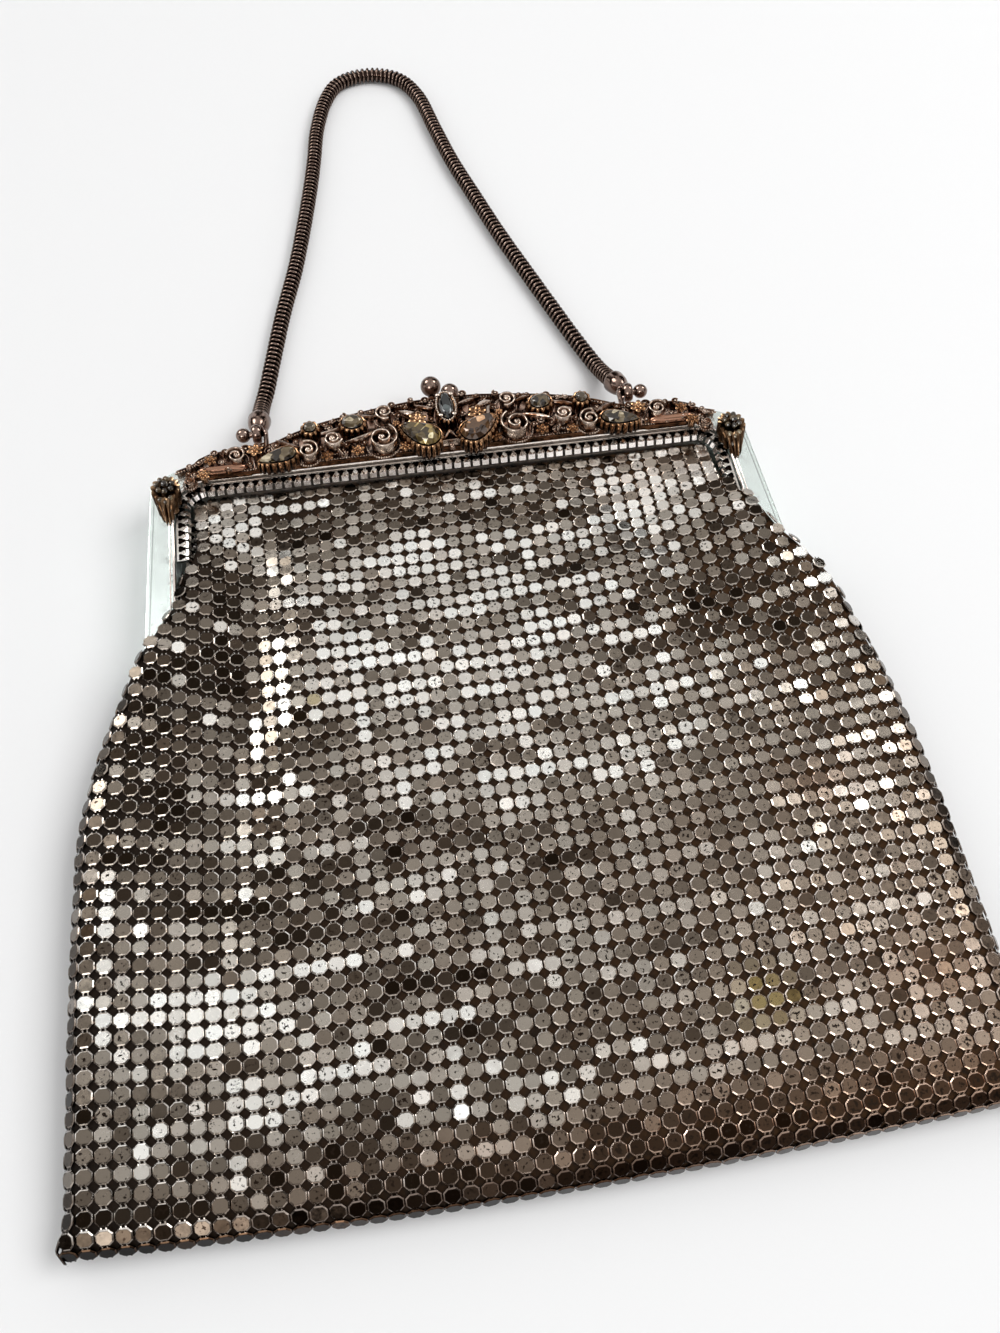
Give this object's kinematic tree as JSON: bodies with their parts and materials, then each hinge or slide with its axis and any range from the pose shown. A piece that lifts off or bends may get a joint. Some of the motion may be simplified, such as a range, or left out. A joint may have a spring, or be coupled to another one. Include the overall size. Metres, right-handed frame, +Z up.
{
  "type": "metal mesh purse",
  "caption": "Antique metal mesh evening purse, lying flat and closed, with a stone-set cast frame, a kiss clasp and a snake chain handle.",
  "frame": {"origin": "on the surface the purse lies on, under the middle of the mesh pouch", "axes": "+X runs across the purse to the right, +Y runs from the bottom edge to the frame and chain, +Z points up out of the ornamented front"},
  "size_m": [0.1889, 0.347, 0.0197],
  "materials": {
    "mesh_metal": "polished, tarnished in places",
    "frame_silver": "polished",
    "filigree_bronze": "antiqued cast metal",
    "chain_metal": "antiqued",
    "stone_glass": "smoky, cut",
    "black_stone": "polished",
    "lining_cloth": "matt"
  },
  "bodies": {
    "root": {"front_frame": "frame_silver", "back_frame": "frame_silver", "front_mesh_strip": "frame_silver", "back_mesh_strip": "frame_silver", "mesh_pouch": "mesh_metal", "lining": "lining_cloth", "filigree": "filigree_bronze", "navette_stone": "black_stone", "hinge_pin_left": "frame_silver", "hinge_pin_right": "frame_silver", "corner_shell_left": "filigree_bronze", "corner_shell_right": "filigree_bronze", "pear_stone_left": "stone_glass", "pear_stone_right": "stone_glass", "long_stone_left": "stone_glass", "long_stone_right": "stone_glass", "oval_stone_left": "stone_glass", "oval_stone_right": "stone_glass", "round_stone_left": "stone_glass", "round_stone_right": "stone_glass", "shell_stone_left": "stone_glass", "shell_stone_right": "stone_glass", "chain_post_left": "filigree_bronze", "chain_post_right": "filigree_bronze", "chain_end_left": "chain_metal", "chain_end_right": "chain_metal", "clasp_ball_front": "filigree_bronze", "clasp_ball_back": "filigree_bronze", "snake_chain": "chain_metal"}
  },
  "joints": []
}
